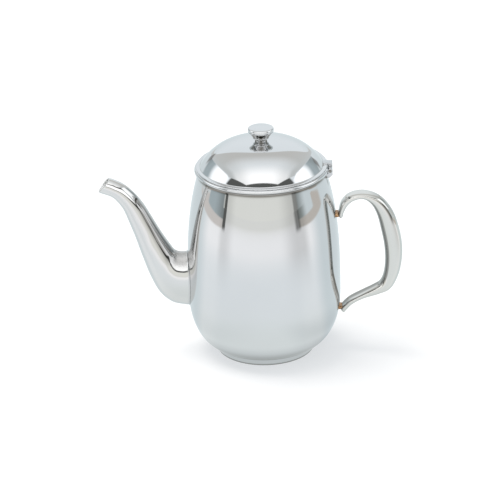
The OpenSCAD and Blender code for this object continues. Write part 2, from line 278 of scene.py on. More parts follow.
def row_at(rows, s):
    """Row at a place between two rows, counted from 0."""
    last = len(rows) - 1
    i = min(int(math.floor(s)), last - 1)
    return catmull(rows[max(i - 1, 0)], rows[i], rows[i + 1], rows[min(i + 2, last)], s - i)


def smooth(rows, count):
    """The rows and what lies between them, in equal steps."""
    return [row_at(rows, k * (len(rows) - 1) / count) for k in range(count + 1)]


def arc(x, z, r, start, end, steps):
    """Points on an arc, angles in degrees."""
    angles = [math.radians(start + (end - start) * k / steps) for k in range(steps + 1)]
    return [(x + r * math.cos(a), z + r * math.sin(a)) for a in angles]


def ramp(v, start, full):
    """Smooth step from 0 at start to 1 at full, which may lie on either side of it."""
    t = min(1.0, max(0.0, (v - start) / (full - start)))
    return t * t * (3 - 2 * t)


def band(v, start, full, drop, end):
    """1 from full to drop, and smoothly down to 0 at start and end."""
    return ramp(v, start, full) * ramp(v, end, drop)


def between(a, b, t):
    return a + (b - a) * t


def bell(v, middle, width):
    """1 at the middle, falling off smoothly on both sides."""
    return math.exp(-((v - middle) / width) ** 2)


def oval(sec, inset, squareness, steps, inner_squareness=None):
    """Closed ring round a section, which is outer edge x and z, inner edge x and z, and half width.
    Squareness 1 is an ellipse, less is squarer; the inner side can have its own."""
    cx, cz = (sec[0] + sec[2]) / 2, (sec[1] + sec[3]) / 2
    hx, hz = (sec[0] - sec[2]) / 2, (sec[1] - sec[3]) / 2
    keep = max(0.02, 1 - inset / math.hypot(hx, hz))
    w = max(0.05, sec[4] - inset)
    ring = []
    for k in range(steps):
        a = 2 * math.pi * k / steps
        power = squareness if math.cos(a) > 0 else inner_squareness or squareness
        c, s = (math.copysign(abs(v) ** power, v) for v in (math.cos(a), math.sin(a)))
        ring.append((cx + hx * keep * c, w * s, cz + hz * keep * c))
    return ring


# ---- barrel and foot ----
PANEL_R = SEAT_R - 5.5  # raised middle of the bottom
PANEL_EDGE_R = SEAT_R - 3
NOTCH_TURN = 20.4  # degrees of the rolled rim that are cut away for the hinge
NOTCH_REACH = 9
NOTCH_GAP = 0.03
FOOT_SHADE_H = 11.0  # height of the painted shade band above the foot
FOOT_SHADE_STRENGTH = 0.66
INSIDE_HAZE = 0.6
PORT_R = 6.5
PORT_SPAN = 16.0
PORT_OUT = 4  # how far the port's cutter reaches out past the belly, and in
PORT_IN = 14


def side_outline(t, steps):
    """The wall from the foot to the neck, t inside its outer face."""
    lower = []
    for k in range(steps + 1):
        z = BELLY_Z - (BELLY_Z - FOOT_H - t) * (1 - (k / steps) ** 2)
        lower.append((lower_r(z, FOOT_H + t, SEAT_R, BELLY_R - t), z))
    upper = []
    for k in range(1, steps + 1):
        z = BELLY_Z + (NECK_Z - BELLY_Z) * k / steps
        upper.append((upper_r(z, BELLY_R, NECK_R) - t, z))
    return lower + upper


def barrel_outline():
    """Bottom, outer wall, rolled rim and inner wall as one closed outline."""
    raised = FOOT_H + BOTTOM_RISE
    bottom = [(0, raised), (PANEL_R, raised), (PANEL_EDGE_R, FOOT_H)]
    curl = arc(CURL_X, CURL_Z, CURL_R - WALL, 180, CURL_END, 24)
    lip = arc(CURL_X, CURL_Z, CURL_R, CURL_END, 180, 48)
    inside = [(PANEL_EDGE_R, FOOT_H + WALL), (PANEL_R, raised + WALL), (0, raised + WALL)]
    return bottom + side_outline(0, 60) + curl + lip + list(reversed(side_outline(WALL, 36))) + inside


def barrel_finish(x, y, z):
    """Painted shade: darker under the rolled rim, in a band above the foot and in the corners beside the
    hinge bracket, with a thin painted shadow line down from each corner."""
    r = math.hypot(x, y)
    under_rim = band(z, NECK_Z - 1.6, NECK_Z - 0.4, CURL_Z - 0.8, CURL_Z)
    foot_shade = FOOT_SHADE_STRENGTH * ramp(z, FOOT_H + FOOT_SHADE_H, FOOT_H + 1)
    all_round = max(under_rim, foot_shade) if r > SEAT_R - 1 else 0.0
    outside = r > barrel_r(z) - 0.3 and z < CURL_Z - 1.2
    if not outside:
        return all_round
    aside = abs(math.degrees(math.atan2(y, x)))
    # Painted shade in the corners beside the bracket, and a thin painted shadow line below each
    corner = band(aside, 7.8, 8.8, 11.2, 12.6) * ramp(z, BLOCK_LOW, BLOCK_LOW + 1.4)
    line = bell(aside, 9.9, 1.5) * ramp(z, BLOCK_LOW - 5.5, BLOCK_LOW - 3.5)
    return max(all_round, corner, line)


def barrel_haze(x, y, z):
    """The inside is brushed, not polished."""
    inside = z < NECK_Z and math.hypot(x, y) < barrel_r(z) - 0.6 * WALL
    return INSIDE_HAZE if inside else 0.0


def make_barrel():
    barrel = lathe("barrel", barrel_outline())
    outline = rectangle(NECK_R + NOTCH_GAP, NECK_Z, NECK_R + NOTCH_REACH, RIM_Z + 5)
    notch = lathe("notch", outline, steps=24, start=-NOTCH_TURN / 2, turn=NOTCH_TURN)
    combine(barrel, notch, "DIFFERENCE")
    combine(barrel, make_port(), "DIFFERENCE")
    return set_point_marks(set_point_marks(barrel, barrel_finish), barrel_haze, "haze")


def make_port():
    """Slot through the barrel into the spout, with round ends, along X."""
    root = spout_sections()[0]
    cz = (root[1] + root[3]) / 2
    steps = 48
    outline = []
    for k in range(steps):
        a = 2 * math.pi * (k + 0.5) / steps
        lift = PORT_SPAN / 2 if math.sin(a) > 0 else -PORT_SPAN / 2
        outline.append((PORT_R * math.cos(a), cz + lift + PORT_R * math.sin(a)))
    rings = [[(x, y, z) for y, z in outline] for x in (-BELLY_R - PORT_OUT, -BELLY_R + PORT_IN)]
    verts, faces = skin(rings)
    return finish_mesh("port", verts, faces, 30)


def make_foot():
    """Flared ring, darkened along its rounded standing edge as painted shade; the flare has points for that
    shade.
    """
    inner_r = FOOT_R - FOOT_WALL
    top_r = SEAT_R - 0.3
    bevel, rnd = 0.3, 0.5
    outline = [(inner_r, bevel), (inner_r + bevel, 0.0)]
    outline += arc(FOOT_R - rnd, rnd, rnd, -90, 0, 8)
    outline += [(between(FOOT_R, top_r, t), between(rnd, FOOT_H, t)) for t in (0.25, 0.5, 0.75, 1.0)]
    outline += [(top_r - FOOT_WALL - 1.1, FOOT_H), (inner_r, FOOT_H - 1)]
    foot = lathe("foot", outline, sharp=50)
    return set_point_marks(foot, lambda x, y, z: 0.8 * ramp(z, 1.5, 0.6))


# ---- spout ----
SPOUT_ROOT_Z = 55
SPOUT_ROOT_W = 13.0
SPOUT_MOUTH_W = 6.6
SPOUT_WALL = 1.0
SPOUT_RINGS = 220  # along the spout
SPOUT_STEPS = 96  # round it
# How dark the painted reflection along the spout's top is, and how much darker the root's top is
SPOUT_TOP_PAINTED_DARK = 0.50
SPOUT_ROOT_DARKER = 0.25
SPOUT_ROOT_HAZE = 0.75
LIP_RINGS = 7
LIP_OUT = 0.45  # how far the lip's edge is rounded out
LIP_BACK = 0.3
WELD_W = 0.9
WELD_GAP = 0.06
# Upper edge out and up, lower edge out and up, and width as a share between the mouth's and the root's
SPOUT_SHAPE = [
    (0.0, 76.0, 0.0, 34.5, 1.00),
    (2.8, 75.6, 2.8, 34.8, 1.00),
    (7.1, 76.2, 12.2, 37.4, 1.00),
    (9.6, 78.2, 20.8, 45.4, 0.97),
    (12.0, 81.8, 27.2, 58.4, 0.90),
    (15.6, 87.6, 32.6, 74.4, 0.72),
    (19.9, 95.2, 36.7, 88.2, 0.50),
    (25.0, 105.0, 41.0, 100.8, 0.34),
    (29.9, 114.0, 44.5, 110.3, 0.20),
    (35.8, 122.2, 48.2, 116.2, 0.10),
    (43.2, 129.3, 52.2, 120.4, 0.04),
    (49.2, 132.7, 56.8, 122.5, 0.00),
    (53.6, 134.5, 61.9, 124.3, 0.00)]


def spout_sections():
    """Upper edge, lower edge and half width of each section, from the barrel outwards."""
    wall = barrel_r(SPOUT_ROOT_Z)
    return [[-wall - a, b, -wall - c, d, between(SPOUT_MOUTH_W, SPOUT_ROOT_W, w)]
            for a, b, c, d, w in SPOUT_SHAPE]


def on_barrel(y, z, off):
    return (-math.sqrt((barrel_r(z) + off) ** 2 - y * y), y, z)


def spout_painted_line(along, upward):
    """A thin painted dark reflection line along the side of the spout, with fainter painted shade below it.
    """
    middle = 0.615 - 1.3 * max(0.0, along - 0.62)
    length = band(along, 0.24, 0.33, 0.68, 0.78)
    below = 0.3 * ramp(upward, middle - 0.32, middle) if upward < middle else 0.0
    return length * max(bell(upward, middle, 0.06), below)


def spout_root(along, upward):
    """1 on the root's top, which is ground after welding."""
    return ramp(upward, 0.45, 0.75) * ramp(along, 0.25, 0.19)


def spout_finish(along, upward):
    """Along is 0 at the barrel and 1 at the mouth, upward is 1 on top of the spout and -1 below."""
    # Painted dark reflection in a band along the top, and a darker top at the root
    top = ramp(upward, 0.60, 0.90) * (1 - 0.5 * ramp(upward, 0.93, 1.0))
    top *= SPOUT_TOP_PAINTED_DARK * band(along, 0.19, 0.27, 0.55, 0.98)
    return max(top + SPOUT_ROOT_DARKER * spout_root(along, upward), spout_painted_line(along, upward))


def spout_haze(along, upward):
    return 0.10 * ramp(upward, 0.3, 0.1) + SPOUT_ROOT_HAZE * spout_root(along, upward)


def moved(ring, by):
    return [tuple(Vector(p) + by) for p in ring]


def spout_rings():
    """Rings along the outside, and those over the lip and back inside."""
    sections = smooth(spout_sections(), SPOUT_RINGS)
    outer = [oval(sec, 0, 1, SPOUT_STEPS) for sec in sections]
    inner = [oval(sec, SPOUT_WALL, 1, SPOUT_STEPS) for sec in sections]
    for rings in (outer, inner):
        rings[0] = [on_barrel(y, z, 0.1) for _, y, z in rings[0]]
    tip, before = sections[-1], sections[-4]
    along = Vector((tip[0] + tip[2] - before[0] - before[2], 0, tip[1] + tip[3] - before[1] - before[3]))
    along.normalize()
    lip = []
    for k in range(1, LIP_RINGS + 1):
        a = math.pi * k / (LIP_RINGS + 1)
        ring = oval(tip, SPOUT_WALL / 2 * (1 - math.cos(a)), 1, SPOUT_STEPS)
        lip.append(moved(ring, along * (LIP_OUT * math.sin(a) - LIP_BACK)))
    outer[-1] = moved(outer[-1], along * -LIP_BACK)
    inner[-1] = moved(inner[-1], along * -LIP_BACK)
    return outer, lip + list(reversed(inner))


def make_spout():
    """The two welded halves as one skin, outside and inside, with a rounded lip."""
    outer, inside = spout_rings()
    verts, faces = skin(outer + inside + [outer[0]], ends=False)
    turned = [math.cos(2 * math.pi * k / SPOUT_STEPS) for k in range(SPOUT_STEPS)]
    finish = [spout_finish(i / SPOUT_RINGS, c) for i in range(len(outer)) for c in turned]
    haze = [spout_haze(i / SPOUT_RINGS, c) for i in range(len(outer)) for c in turned]
    # The lip and the inside are satin and painted pale as painted light, and the last ring lies on the first
    # again
    count = SPOUT_STEPS * len(inside)
    finish += [-1.0] * count + [SPOUT_ROOT_DARKER * spout_root(0, c) for c in turned]
    haze += [1.0] * count + [SPOUT_ROOT_HAZE * spout_root(0, c) for c in turned]
    return finish_mesh("spout", verts, faces, 50, finish=finish, haze=haze)


def make_root_weld():
    """Hollow fillet between the spout's root and the barrel."""
    steps, across = 192, 8
    root = spout_sections()[0]
    cz, hz = (root[1] + root[3]) / 2, (root[1] - root[3]) / 2

    def beside(a, aside, off):
        """A point this far from the spout's root and off the barrel."""
        return on_barrel((root[4] + aside) * math.sin(a), cz + (hz + aside) * math.cos(a), off)

    rings = []
    for k in range(steps):
        a = 2 * math.pi * k / steps
        ring = []
        for q in range(across + 1):
            t = math.pi / 2 * q / across
            aside = WELD_GAP + WELD_W * (1 - math.sin(t))
            ring.append(beside(a, aside, WELD_GAP + WELD_W * (1 - math.cos(t))))
        ring.append(beside(a, WELD_GAP, WELD_GAP))
        rings.append(ring)
    rings.append(rings[0])
    verts, faces = skin(rings, ends=False)
    return finish_mesh("spout_weld", verts, faces, 50)


# ---- handle ----
HANDLE_LOW_Z = 28.0
HANDLE_TOP_Z = RIM_Z - 39.5
HANDLE_SPAN = 74.0  # between the two seats, in the shape's own heights
HANDLE_HALF_W = 6.25
OUTER_SQUARENESS = 0.74
INNER_SQUARENESS = 0.92
ARM_SQUARENESS = 0.58
HANDLE_PAINTED_SHADE = 0.62
HANDLE_RINGS = 300  # along the handle
HANDLE_STEPS = 96  # round it
END_RINGS = 8  # these round off each end
END_DEPTH = 0.9
END_CUT = 6  # rings that an end's own rings stand in for
# Outer edge out and up, inner edge out and up, and width as a share of the whole
HANDLE_SHAPE = [
    (1.9, 73.2, 3.7, 73.1, 0.74),
    (1.4, 74.6, 4.7, 74.1, 0.88),
    (1.4, 77.4, 5.3, 76.7, 0.90),
    (3.8, 84.8, 8.4, 82.2, 0.94),
    (10.2, 90.3, 13.0, 85.9, 0.98),
    (20.4, 91.7, 19.6, 86.8, 1.00),
    (31.4, 87.6, 25.4, 81.8, 1.00),
    (39.8, 77.6, 29.2, 73.6, 1.00),
    (44.6, 64.4, 31.8, 62.6, 1.00),
    (47.0, 50.4, 34.0, 50.2, 1.00),
    (46.6, 37.4, 34.6, 38.4, 1.00),
    (43.8, 25.6, 33.4, 27.6, 0.99),
    (38.4, 16.2, 30.4, 20.4, 0.97),
    (29.6, 12.1, 26.2, 17.2, 0.95),
    (18.4, 8.9, 17.4, 12.6, 0.93),
    (10.6, 4.8, 8.4, 7.8, 0.91),
    (5.8, 0.0, 2.9, 2.8, 0.88),
    (4.0, -2.6, 1.7, -0.4, 0.74)]


def handle_sections():
    """Outer edge, inner edge and half width of each section, from the upper end down."""
    low, top = barrel_r(HANDLE_LOW_Z), barrel_r(HANDLE_TOP_Z)

    def place(out, up):
        """A point given from the line between the handle's seats on the barrel."""
        z = HANDLE_LOW_Z + up * (HANDLE_TOP_Z - HANDLE_LOW_Z) / HANDLE_SPAN
        return low + (top - low) * (z - HANDLE_LOW_Z) / (HANDLE_TOP_Z - HANDLE_LOW_Z) + out, z

    return [[*place(a, b), *place(c, d), w * HANDLE_HALF_W] for a, b, c, d, w in HANDLE_SHAPE]


def handle_finish(along, angle):
    """Painted shade inside the grip and along the lower arm, with thin painted dark reflection lines near the
    edges. Along is 0 at the upper end and 1 at the lower one; the angle starts on the outer side."""
    outward, far = math.cos(angle), math.sin(angle)
    arm = ramp(along, 0.68, 0.75)
    bend = 0.25 * ramp(along, 0.32, 0.20)
    upright = ramp(-outward, 0.45 + bend, 0.65 + bend)
    level = 1.4 * ramp(-outward, 0.2, 0.4) * ramp(far, -0.32, 0.12)
    grip = HANDLE_PAINTED_SHADE * between(upright, level, arm)
    low_line = 0.9 * bell(outward, -0.60, 0.13) * ramp(along, 0.73, 0.77) * ramp(-far, 0.2, 0.5)
    top_line = bell(outward, 0.42, 0.12) * band(along, 0.24, 0.29, 0.43, 0.46)
    top_line *= 0.45 + 0.55 * ramp(along, 0.33, 0.37)
    edge = 0.45 * ramp(outward, 0.80, 0.92) * band(along, 0.30, 0.36, 0.43, 0.47)
    return max(grip, low_line, top_line, edge)


def rounded_end(ring, following):
    """Rings that round an end over, from a third of its width to nearly the whole."""
    middle = sum((Vector(p) for p in ring), Vector()) / len(ring)
    inward = (sum((Vector(p) for p in following), Vector()) / len(ring) - middle).normalized()
    rings = []
    for k in range(END_RINGS):
        t = k / END_RINGS
        round_over = math.sqrt(max(0.0, 1 - (1 - t) ** 2)) if k else 0.02
        width = 0.35 + 0.65 * round_over
        rings.append([tuple(middle + (Vector(p) - middle) * width + inward * END_DEPTH * t) for p in ring])
    return rings


def make_handle():
    """The two welded halves as one skin, squarer along the lower arm."""
    rings = []
    for i, sec in enumerate(smooth(handle_sections(), HANDLE_RINGS)):
        low_arm = ramp(i / HANDLE_RINGS, 0.66, 0.74)
        inner = between(INNER_SQUARENESS, ARM_SQUARENESS, low_arm)
        outer = between(OUTER_SQUARENESS, ARM_SQUARENESS, low_arm)
        rings.append(oval(sec, 0, outer, HANDLE_STEPS, inner))
    first = rounded_end(rings[0], rings[2 * END_CUT])
    final = rounded_end(rings[-1], rings[-1 - 2 * END_CUT])
    rings = first + rings[END_CUT:-END_CUT] + list(reversed(final))
    verts, faces = skin(rings)
    marks = [handle_finish(i / len(rings), 2 * math.pi * k / HANDLE_STEPS)
             for i in range(len(rings)) for k in range(HANDLE_STEPS)]
    return finish_mesh("handle", verts, faces, 60, finish=marks)


# ---- brazed joints ----
BRAZE_HALF_W = 4.2
BRAZE_GAP = 0.04  # off the barrel
BRAZE_SINK = 0.12  # inside the handle's edge
BRAZE_RIPPLE = 0.10


def make_braze(name, edge, start, end):
    """Brazing metal with a rippled face between the barrel and an end of the handle. It follows the handle's
    outer edge (0) or inner edge (2) between two of its sections."""
    rows = handle_sections()
    steps, across = 56, 14
    middle = row_at(rows, (start + end) / 2)[edge + 1]
    rings = []
    for k in range(steps + 1):
        v = -1 + 2 * k / steps
        y = v * BRAZE_HALF_W
        height = 0.55 + 0.45 * math.sqrt(max(0.0, 1 - abs(v) ** 6))
        handle_side = []
        for q in range(across):
            sec = row_at(rows, between(start, end, q / (across - 1)))
            handle_side.append((sec[edge], between(middle, sec[edge + 1], height)))
        ring = []
        for _, z in handle_side:
            ripple = BRAZE_RIPPLE * noise.noise(Vector((y * 1.3, z * 1.7, edge)))
            ring.append((barrel_x(y, z) + BRAZE_GAP, y, z + ripple))
        ring += [(x - BRAZE_SINK, y, z) for x, z in reversed(handle_side)]
        rings.append(ring)
    verts, faces = skin(rings)
    return finish_mesh(name, verts, faces, 60)


# ---- hinge ----
NOSE = KNUCKLE_R - 0.05
BLOCK_TOP = HINGE_Z - KNUCKLE_R - 0.45
BLOCK_LOW = HINGE_Z - 5
PIN_R = 0.8
HEAD_H = 0.5
HEAD_GAP = 0.03
KNUCKLE_GAP = 0.15
EAR_NECK = 1.4  # half the thickness of what carries an outer knuckle
LEAF_T = 1.1


def make_bracket():
    """Block under the rim with the two outer knuckles, hollowed to fit the barrel."""
    nose = HINGE_X + NOSE
    outline = [(MOUTH_R, BLOCK_LOW), (HINGE_X - 0.4, BLOCK_LOW), (nose, BLOCK_LOW + 2.2),
               (nose, BLOCK_TOP), (MOUTH_R, BLOCK_TOP)]
    block = prism("bracket", outline, HINGE_W)
    side = (HINGE_W - KNUCKLE_W) / 2 - KNUCKLE_GAP
    upright = rectangle(HINGE_X - EAR_NECK, BLOCK_TOP - 0.5, HINGE_X + EAR_NECK, HINGE_Z)
    for sign in (-1, 1):
        y = sign * (KNUCKLE_W / 2 + KNUCKLE_GAP + side / 2)
        ear = rod("ear", KNUCKLE_R, side, 0.25, (HINGE_X, y, HINGE_Z))
        combine(ear, prism("neck", upright, side, at_y=y), "UNION")
        combine(block, ear, "UNION")
    low, top, neck_r = BLOCK_LOW - 1, BLOCK_TOP + 1, NECK_R + 0.06
    outline = [(0, low), (barrel_r(low) + 0.04, low), (neck_r, NECK_Z), (neck_r, top), (0, top)]
    combine(block, lathe("shell", outline, steps=360), "DIFFERENCE")
    # Painted shade on the block's underside, towards the barrel
    foot = BLOCK_LOW + 0.5
    return set_point_marks(block, lambda x, y, z: ramp(z, foot + 1, foot) * ramp(x, HINGE_X - 0.3, HINGE_X - 0.8))


def make_pin():
    parts = [rod("pin_shaft", PIN_R, HINGE_W + 0.2, 0.1, (HINGE_X, 0, HINGE_Z))]
    for sign in (-1, 1):
        y = sign * (HINGE_W / 2 + HEAD_GAP + HEAD_H / 2)
        parts.append(rod("pin_head", PIN_R + 0.35, HEAD_H, 0.2, (HINGE_X, y, HINGE_Z)))
    return set_point_marks(merge("hinge_rivet", parts), lambda x, y, z: 0.9)


def dome_z(r, t):
    """Height of the dome at a radius, t below its outer face."""
    return RIM_Z - t + DOME_H * ease(r / (DOME_R - t), DOME_POWER)


def dome_start(t, z0):
    return (DOME_R - t) * (1 - (z0 - RIM_Z + t) / DOME_H) ** (1 / DOME_POWER)


def make_leaf():
    """The lid's tongue with the middle knuckle, hollowed to fit the dome."""
    low = FLANGE_Z + FLANGE_T
    top = low + LEAF_T
    edge, nose = FLANGE_R + 0.2, HINGE_X + NOSE
    root = dome_start(0, top) - 1
    outline = [(edge, HINGE_Z + 0.8), (HINGE_X + 1, HINGE_Z + 1.2), (nose, HINGE_Z + 1.6), (nose, top - 0.4),
               (nose - 0.4, top), (root, top), (root, low), (edge, low)]
    leaf = prism("leaf", outline, KNUCKLE_W)
    combine(leaf, rod("knuckle", KNUCKLE_R, KNUCKLE_W, 0.2, (HINGE_X, 0, HINGE_Z)), "UNION")
    low, top = low - 0.5, top + 0.5
    outline = [(0, low), (dome_start(0, low) + 0.05, low), (dome_start(0, top) + 0.05, top), (0, top)]
    combine(leaf, lathe("dome", outline, steps=360), "DIFFERENCE")
    return leaf


# ---- lid ----
def dome_outline(t, z0, steps):
    """From height z0 up to the screw's hole, t below the outer face, with a flat crown."""
    r0 = dome_start(t, z0)
    radii = [r0 * math.sqrt(1 - k / steps) for k in range(steps)]
    points = [(r, dome_z(r, t)) for r in radii if r > CROWN_R]
    return points + [(CROWN_R, DOME_APEX - t), (SCREW_R + 0.2, DOME_APEX - t)]


def make_dome():
    low, top = FLANGE_Z, FLANGE_Z + FLANGE_T
    rnd, fillet = 0.35, 1.0
    edge = arc(FLANGE_R - rnd, low + rnd, rnd, -90, 0, 6) + arc(FLANGE_R - rnd, top - rnd, rnd, 0, 90, 6)
    foot = top + 0.41 * fillet
    # Hollow fillet where the flange turns up into the dome
    edge += arc(dome_start(0, foot) + 0.81 * fillet, top + fillet, fillet, -90, -144, 8)
    outline = edge + dome_outline(0, foot, 90)[1:] + list(reversed(dome_outline(LID_WALL, low, 60)))
    return lathe("lid", outline, sharp=38)


def make_locating_ring():
    """Keeps the lid centred in the neck."""
    r = MOUTH_R - 0.4
    z0, z1 = FLANGE_Z - 3, FLANGE_Z
    outline = [(r - 1, z0 + 0.2), (r - 0.8, z0), (r - 0.3, z0), (r, z0 + 0.3), (r, z1), (r - 1, z1)]
    return lathe("locating_ring", outline)


# ---- knob ----
DISC_H = 2.9  # the disc on top of the flared neck
DISC_ROUND = 1.3
NECK_FOOT = 0.5
NECK_H = KNOB_H - DISC_H - 1.1
BEAD_UP = 0.30  # place of the bead, as a share of the neck
KNOB_HOLE_H = 7
# Number of painted highlight streaks round the knob's neck
STREAKS = 6


def knob_outline():
    """Flared neck with a small bead, disc with a rounded edge and a slightly domed top, and the hole."""
    foot, steps = 0.3, 80
    outline = [(SCREW_R + 0.05, 0), (KNOB_SEAT_R - foot, 0)]
    outline += arc(KNOB_SEAT_R - foot, foot, foot, -90, 0, 5)
    for k in range(1, steps + 1):
        t = k / steps
        flare = (KNOB_R - 0.4 - KNOB_SEAT_R) * t ** 1.25 + 0.35 * bell(t, BEAD_UP, 0.07)
        outline.append((KNOB_SEAT_R + flare, NECK_FOOT + NECK_H * t))
    outline += [(KNOB_R - 0.12, KNOB_H - DISC_H - 0.38), (KNOB_R, KNOB_H - DISC_H - 0.1)]
    outline += arc(KNOB_R - DISC_ROUND, KNOB_H - DISC_ROUND - 0.45, DISC_ROUND, 0, 76, 14)
    outline += [(KNOB_R * f / 20, KNOB_H - 0.5 * (f / 20) ** 2) for f in range(17, 0, -1)]
    return outline + [(0, KNOB_H), (0, KNOB_HOLE_H), (SCREW_R + 0.05, KNOB_HOLE_H)]


def knob_finish(x, y, z):
    """The neck is darkened as painted shade, less at the bead and not on the disc, with painted highlight
    streaks down it.
    """
    up = z - DOME_APEX
    neck = ramp(up, KNOB_H - DISC_H - 0.6, KNOB_H - DISC_H - 1.4)
    streak = 0.5 - 0.5 * math.cos(STREAKS * math.atan2(x, -y))
    bead = bell(up, NECK_FOOT + NECK_H * BEAD_UP, 0.45)
    return 0.95 * neck * (1 - bead) * (1 - streak) ** 0.7


def make_knob():
    outline = [(r, DOME_APEX + z) for r, z in knob_outline()]
    return set_point_marks(lathe("knob", outline, steps=160, sharp=50), knob_finish)


def make_screw():
    """Slotted screw from inside the lid into the knob, with a plain grooved thread."""
    head_r, head_h, head_round, slot_w = 3.4, 2.2, 0.8, 1.0
    turns, depth = 9, 0.3
    head_z = DOME_APEX - LID_WALL - 0.8 - head_h
    low, top = DOME_APEX + 0.6, DOME_APEX + 6.5
    outline = [(0, head_z)] + arc(head_r - head_round, head_z + head_round, head_round, -90, 0, 8)
    outline += [(head_r, head_z + head_h), (SCREW_R, head_z + head_h)]
    pitch = (top - 0.5 - low) / turns
    for k in range(turns):
        outline += [(SCREW_R, low + pitch * k), (SCREW_R - depth, low + pitch * (k + 0.5))]
    outline += [(SCREW_R - depth, top - 0.3), (SCREW_R - 0.6, top), (0, top)]
    screw = lathe("screw", outline, steps=96, sharp=30)
    slot = rectangle(-head_r - 1, head_z - 1, head_r + 1, head_z + 1)
    combine(screw, prism("slot", slot, slot_w), "DIFFERENCE")
    return screw


def make_washer():
    low, high = span("knob_washer", Z)
    hole, r, rnd = SCREW_R + 0.2, 4.6, 0.15
    outline = arc(r - rnd, low + rnd, rnd, -90, 0, 4) + arc(r - rnd, high - rnd, rnd, 0, 90, 4)
    outline += [(hole + 0.1, high), (hole, high - 0.1), (hole, low + 0.1), (hole + 0.1, low)]
    return lathe("washer", outline, steps=96)


# ---- node graphs ----
class Graph:
    """Short names for the shader nodes that the materials and the studio use."""

    def __init__(self, tree):
        self.tree = tree

    def feed(self, socket, value):
        """Links another node's output to the socket, or sets a plain value."""
        if isinstance(value, bpy.types.NodeSocket):
            self.tree.links.new(value, socket)
        else:
            socket.default_value = value

    def node(self, kind, **values):
        """A new node; each value goes to the input or the setting of that name."""
        made = self.tree.nodes.new("ShaderNode" + kind)
        for key, value in values.items():
            if key in made.inputs:
                self.feed(made.inputs[key], value)
            else:
                setattr(made, key, value)
        return made

    def result(self, made, *values):
        """What a node gives for these values of its inputs, in order."""
        for socket, value in zip(made.inputs, values):
            self.feed(socket, value)
        return made.outputs[0]

    def math(self, operation, *values):
        return self.result(self.node("Math", operation=operation), *values)

    def ramp(self, x, low, high, out_low=0.0, out_high=1.0):
        """Smooth step of x from low to high."""
        made = self.node("MapRange", interpolation_type="SMOOTHSTEP")
        return self.result(made, x, low, high, out_low, out_high)

    def times(self, first, *others):
        for other in others:
            first = self.math("MULTIPLY", first, other)
        return first

    def band(self, x, start, full, drop, end):
        """1 from full to drop, and smoothly down to 0 at start and end."""
        return self.times(self.ramp(x, start, full), self.ramp(x, end, drop))

    def degrees(self, angle):
        return self.times(angle, 180 / math.pi)

    def split(self, vector):
        return self.node("SeparateXYZ", Vector=vector).outputs

    def mix(self, factor, a, b):
        """Colour a where the factor is 0, b where it is 1."""
        made = self.node("Mix", data_type="RGBA", Factor=factor)
        for socket, value in zip(made.inputs[6:8], (a, b)):
            self.feed(socket, value if isinstance(value, bpy.types.NodeSocket) else (*value, 1))
        return made.outputs[2]

    def noise(self, vector, scale, detail=2.0, roughness=0.5):
        made = self.node("TexNoise", Vector=vector, Scale=scale, Detail=detail, Roughness=roughness)
        return made.outputs["Fac"]

    def stretch(self, vector, scale):
        return self.node("Mapping", Vector=vector, Scale=scale).outputs[0]

    def bump(self, height, distance, **normal):
        """Normal of waves this high, in metres, over another normal if one is given."""
        return self.node("Bump", Strength=1.0, Distance=distance, Height=height, **normal).outputs[0]


def new_material(name):
    made = bpy.data.materials.new(name)
    made.use_nodes = True
    return made, Graph(made.node_tree), made.node_tree.nodes["Principled BSDF"]


# Colours for a piece's shading mark: dark for painted shade or a darker tone, pale for painted light
DARK_TONE_AND_SHADE = (0.20, 0.19, 0.17)
PAINTED_LIGHT_PALE = (0.86, 0.86, 0.85)
PRESS_WAVE = 0.00002  # heights of the bumps, in metres
FINE_GRAIN = 0.0000004
EVEN_GRAIN = (900, 900, 900)
SATIN_ROUGH = 0.5  # roughness that a haze of 1 adds


def steel(name, colour, rough, rough_spread, grain=FINE_GRAIN, grain_scale=EVEN_GRAIN):
    """Steel with polishing marks, slow waves left by pressing, and a fine grain; a piece's shading mark
    darkens it as painted shade or a darker tone, or below 0 makes it paler as painted light, and its haze
    makes it duller."""
    made, g, shader = new_material(name)
    place = g.node("TexCoord").outputs["Object"]
    cloudy = g.noise(place, 45, 4, 0.6)
    wipes = g.noise(g.stretch(place, (1, 1, 0.16)), 320, 3, 0.55)
    mixed = g.math("MULTIPLY_ADD", wipes, 0.45, g.times(cloudy, 0.55))
    even = g.ramp(mixed, 0.3, 0.75, rough, rough + rough_spread)
    finish = g.node("Attribute", attribute_name="finish").outputs["Fac"]
    haze = g.node("Attribute", attribute_name="haze").outputs["Fac"]
    g.feed(shader.inputs["Roughness"], g.math("MULTIPLY_ADD", haze, SATIN_ROUGH, even))
    tint = g.ramp(g.noise(place, 18, 2), 0.3, 0.7)
    darker = tuple(c * 0.975 for c in colour)
    # Painted shade or a darker tone where the shading mark is above 0
    toned_and_shaded = g.mix(finish, g.mix(tint, darker, colour), DARK_TONE_AND_SHADE)
    # Painted light: paler where the shading mark is below 0
    pale = g.times(g.math("MINIMUM", finish, 0.0), -1.0)
    g.feed(shader.inputs["Base Color"], g.mix(pale, toned_and_shaded, PAINTED_LIGHT_PALE))
    shader.inputs["Metallic"].default_value = 1.0
    slow = g.bump(g.noise(place, 26, 1.5, 0.4), PRESS_WAVE)
    fine = g.noise(g.stretch(place, grain_scale), 1.0, 2, 0.5)
    g.feed(shader.inputs["Normal"], g.bump(fine, grain, Normal=slow))
    return made


